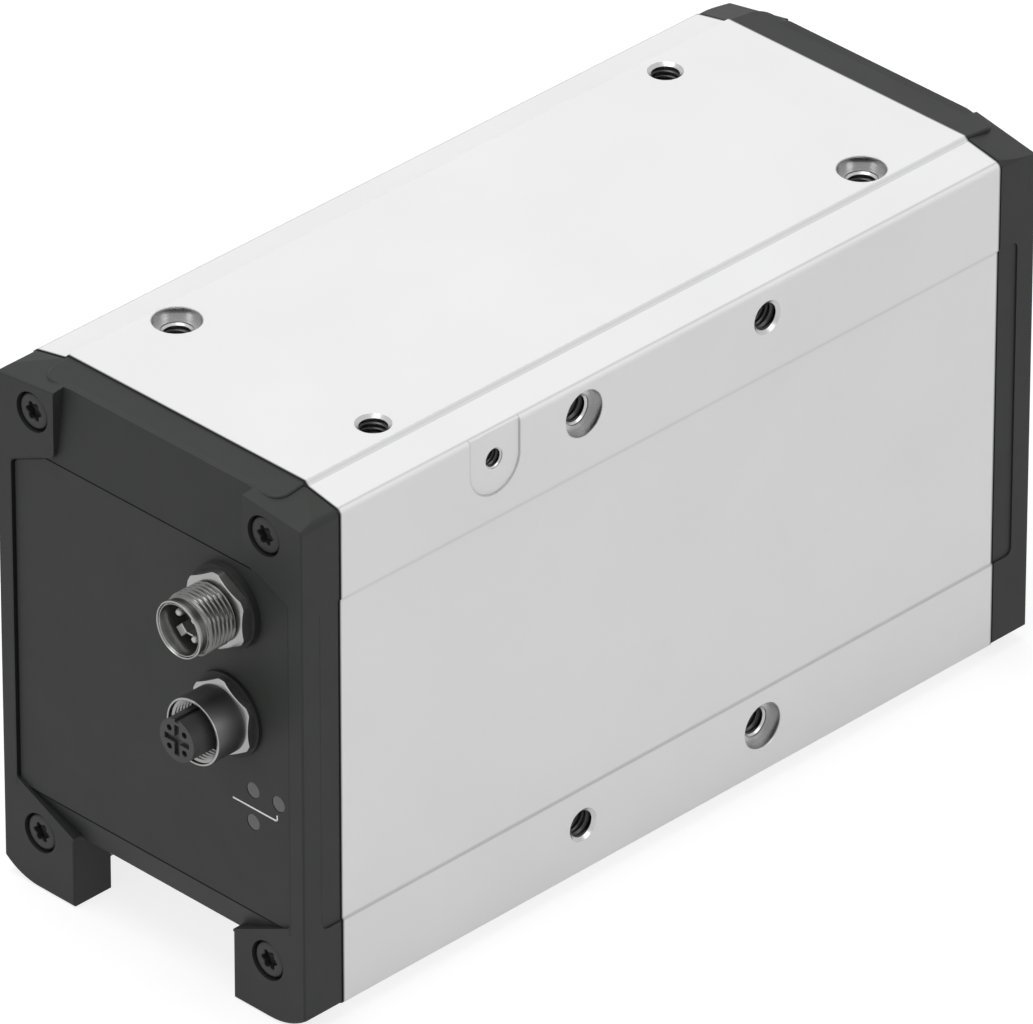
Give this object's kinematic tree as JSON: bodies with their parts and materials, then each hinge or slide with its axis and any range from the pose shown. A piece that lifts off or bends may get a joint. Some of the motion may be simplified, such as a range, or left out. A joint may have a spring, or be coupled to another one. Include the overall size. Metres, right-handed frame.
{
  "type": "electric parallel gripper",
  "caption": "Electric parallel gripper: a slotted housing between two end caps, with a pair of long-stroke jaws underneath that racks and one pinion move apart.",
  "frame": {"origin": "middle of the top face, where the robot flange bolts on", "axes": "+Z out of the top face, Y along the housing with the connectors facing -Y, X across it"},
  "size_m": [0.075, 0.1926, 0.1048],
  "materials": {
    "housing_anodised": "pale silver anodised, fine matt",
    "cap_moulding": "dark moulded plastic, fine grain",
    "seal_rubber": "matt",
    "black_screw_steel": "black coated, satin",
    "inner_screw_steel": "zinc plated",
    "connector_nickel": "dull nickel plated",
    "contact_carrier": "black, smooth",
    "contact_metal": "plated",
    "status_lens": "smoked grey",
    "plate_aluminium": "milled",
    "jaw_aluminium": "hard anodised, dark grey",
    "guide_steel": "ground",
    "gear_steel": "hobbed and oiled",
    "motor_shell": "satin black",
    "encoder_shell": "matt",
    "circuit_board": "green solder mask",
    "capacitor_can": "sleeved can"
  },
  "bodies": {
    "gripper_body": {"housing": "housing_anodised", "front_cap": "cap_moulding", "rear_cap": "cap_moulding", "front_gasket": "seal_rubber", "rear_gasket": "seal_rubber", "power_seal": "seal_rubber", "com_seal": "seal_rubber", "end_stops": "seal_rubber", "heat_pad": "seal_rubber", "front_cap_screws": "black_screw_steel", "rear_cap_screws": "black_screw_steel", "plate_screws": "inner_screw_steel", "rail_screws": "inner_screw_steel", "motor_screws": "inner_screw_steel", "power_connector": "connector_nickel", "power_nut": "connector_nickel", "com_connector": "connector_nickel", "com_nut": "connector_nickel", "power_insert": "contact_carrier", "com_insert": "contact_carrier", "power_contacts": "contact_metal", "status_lenses": "status_lens", "guide_plate": "plate_aluminium", "motor_plate": "plate_aluminium", "guide_rails": "guide_steel", "lower_bearing": "guide_steel", "upper_bearing": "guide_steel", "pillars": "guide_steel", "motor": "motor_shell", "encoder": "encoder_shell", "port_board": "circuit_board", "control_board": "circuit_board", "capacitors": "capacitor_can"},
    "front_jaw": {"front_jaw": "jaw_aluminium", "front_carriages": "guide_steel", "front_rack": "gear_steel", "front_rack_screws": "inner_screw_steel"},
    "rear_jaw": {"rear_jaw": "jaw_aluminium", "rear_carriages": "guide_steel", "rear_rack": "gear_steel", "rear_rack_screws": "inner_screw_steel"},
    "drive_shaft": {"drive_pinion": "gear_steel", "drive_gear": "gear_steel"},
    "motor_rotor": {"motor_pinion": "gear_steel"}
  },
  "joints": [
    {"name": "front_jaw_slide", "type": "slide", "parent": "gripper_body", "child": "front_jaw", "axis": [0, -1, 0], "range_m": [0, 0.042]},
    {"name": "rear_jaw_slide", "type": "slide", "parent": "gripper_body", "child": "rear_jaw", "axis": [0, 1, 0], "range_m": [0, 0.042]},
    {"name": "drive_spin", "type": "hinge", "parent": "gripper_body", "child": "drive_shaft", "pos_m": [0, 0, -0.07], "axis": [0, 0, 1], "range_deg": [-356.52, 0]},
    {"name": "motor_spin", "type": "hinge", "parent": "gripper_body", "child": "motor_rotor", "pos_m": [0, 0.027, -0.06], "axis": [0, 0, 1], "range_deg": [0, 1069.53]}
  ],
  "couplings": [
    {"joint": "rear_jaw_slide", "follows": "front_jaw_slide", "ratio": 1},
    {"joint": "drive_spin", "follows": "front_jaw_slide", "rad_per_m": -148.15},
    {"joint": "motor_spin", "follows": "front_jaw_slide", "rad_per_m": 444.44}
  ]
}
